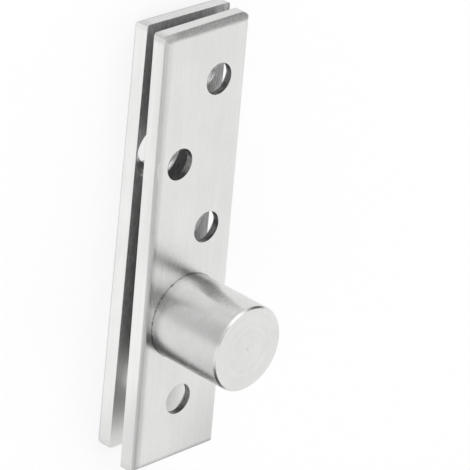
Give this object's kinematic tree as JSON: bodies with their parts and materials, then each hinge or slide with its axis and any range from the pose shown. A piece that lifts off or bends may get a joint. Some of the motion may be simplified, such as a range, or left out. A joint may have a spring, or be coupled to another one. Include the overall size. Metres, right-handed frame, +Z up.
{
  "type": "pivot hinge",
  "caption": "Heavy-duty pivot hinge: a door plate with a closed bearing barrel turns all the way round over a matching frame plate.",
  "frame": {"origin": "where the pivot axis leaves the underside of the frame plate", "axes": "+Z up the pivot axis towards the closed end of the barrel, +X along the long arm of the frame plate"},
  "size_m": [0.1289, 0.0323, 0.038],
  "materials": {
    "plate_steel": "satin, brushed lengthwise",
    "barrel_steel": "fine turned and polished",
    "pin_steel": "ground",
    "bearing_steel": "hardened and ground",
    "spacer_steel": "turned",
    "shim_steel": "bright rolled",
    "spring_steel": "dark phosphate on spring steel",
    "shield_steel": "bright pressed sheet",
    "cage_brass": "machined",
    "ball_steel": "polished"
  },
  "bodies": {
    "frame_side": {"frame_plate": "plate_steel", "pivot_pin": "pin_steel", "thrust_shaft_washer": "bearing_steel", "lower_inner_ring": "bearing_steel", "inner_spacer": "spacer_steel", "upper_inner_ring": "bearing_steel", "shim_washer": "shim_steel", "retaining_ring": "spring_steel"},
    "door_side": {"door_plate": "plate_steel", "barrel": "barrel_steel", "thrust_housing_washer": "bearing_steel", "load_ring": "spacer_steel", "lower_outer_ring": "bearing_steel", "lower_bearing_bottom_shield": "shield_steel", "lower_bearing_top_shield": "shield_steel", "outer_spacer": "spacer_steel", "upper_outer_ring": "bearing_steel", "upper_bearing_bottom_shield": "shield_steel", "upper_bearing_top_shield": "shield_steel"},
    "thrust_cage_set": {"thrust_cage": "cage_brass", "thrust_bearing_balls": "ball_steel"},
    "lower_cage_set": {"lower_cage": "cage_brass", "lower_bearing_balls": "ball_steel"},
    "upper_cage_set": {"upper_cage": "cage_brass", "upper_bearing_balls": "ball_steel"}
  },
  "joints": [
    {"name": "door_swing", "type": "hinge", "parent": "frame_side", "child": "door_side", "pos_m": [0, 0, 0], "axis": [0, 0, 1], "continuous": true},
    {"name": "thrust_cage_roll", "type": "hinge", "parent": "frame_side", "child": "thrust_cage_set", "pos_m": [0, 0, 0], "axis": [0, 0, 1], "continuous": true},
    {"name": "lower_cage_roll", "type": "hinge", "parent": "frame_side", "child": "lower_cage_set", "pos_m": [0, 0, 0], "axis": [0, 0, 1], "continuous": true},
    {"name": "upper_cage_roll", "type": "hinge", "parent": "frame_side", "child": "upper_cage_set", "pos_m": [0, 0, 0], "axis": [0, 0, 1], "continuous": true}
  ],
  "couplings": [
    {"joint": "thrust_cage_roll", "follows": "door_swing", "ratio": 0.5},
    {"joint": "lower_cage_roll", "follows": "door_swing", "ratio": 0.62963},
    {"joint": "upper_cage_roll", "follows": "door_swing", "ratio": 0.62963}
  ]
}
